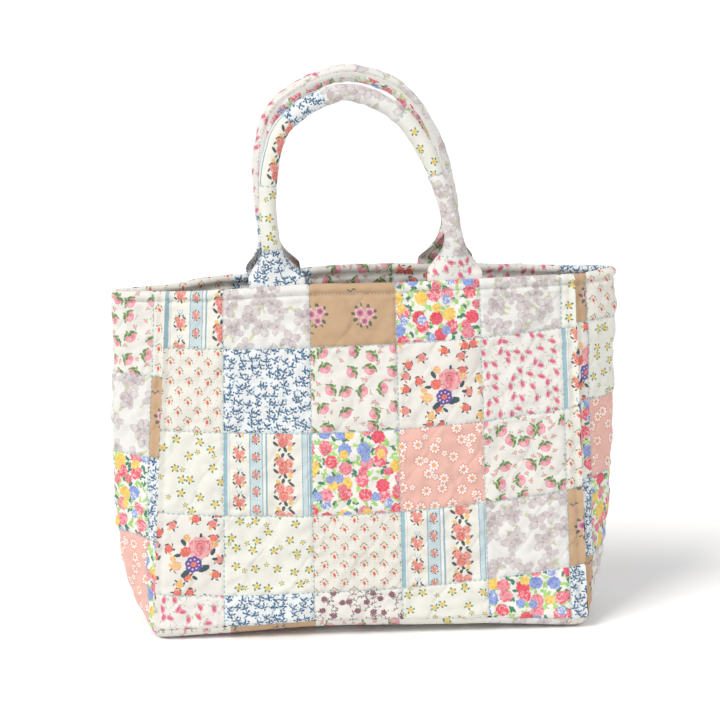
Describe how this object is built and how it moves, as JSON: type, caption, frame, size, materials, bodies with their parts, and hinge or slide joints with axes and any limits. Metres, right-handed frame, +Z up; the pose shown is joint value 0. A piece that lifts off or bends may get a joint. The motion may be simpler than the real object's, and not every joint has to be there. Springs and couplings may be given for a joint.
{
  "type": "knitting bag",
  "caption": "Open-topped padded patchwork tote for knitting, with folding gussets, a flat base and padded loop handles that fold down over the rim.",
  "frame": {"origin": "middle of the flat face under the base, on the floor the bag stands on", "axes": "+X to the right when the front is seen, +Y from the front to the back, +Z up"},
  "size_m": [0.4591, 0.113, 0.5108],
  "materials": {
    "patchwork": "quilted printed cotton",
    "lining": "printed cotton",
    "wadding": "soft wadding",
    "thread": "sewing thread"
  },
  "bodies": {
    "bag": {"front_panel": "patchwork", "front_wadding": "wadding", "front_lining": "lining", "back_panel": "patchwork", "back_wadding": "wadding", "back_lining": "lining", "left_gusset": "patchwork", "left_wadding": "wadding", "left_lining": "lining", "right_gusset": "patchwork", "right_wadding": "wadding", "right_lining": "lining", "base_panel": "patchwork", "base_wadding": "wadding", "base_lining": "lining", "rim_topstitch": "thread", "front_handle_left_end": "patchwork", "front_handle_right_end": "patchwork", "back_handle_left_end": "patchwork", "back_handle_right_end": "patchwork"},
    "front_handle": {"front_handle_cover": "patchwork", "front_handle_core": "wadding"},
    "back_handle": {"back_handle_cover": "patchwork", "back_handle_core": "wadding"}
  },
  "joints": [
    {"name": "front_handle_fold", "type": "hinge", "parent": "bag", "child": "front_handle", "pos_m": [-0.00343, -0.04014, 0.3204], "axis": [0.9991, -0.0352, 0.0237], "range_deg": [-5, 160]},
    {"name": "back_handle_fold", "type": "hinge", "parent": "bag", "child": "back_handle", "pos_m": [-0.00445, 0.04014, 0.32292], "axis": [-0.999, -0.0364, -0.0257], "range_deg": [-5, 160]}
  ]
}
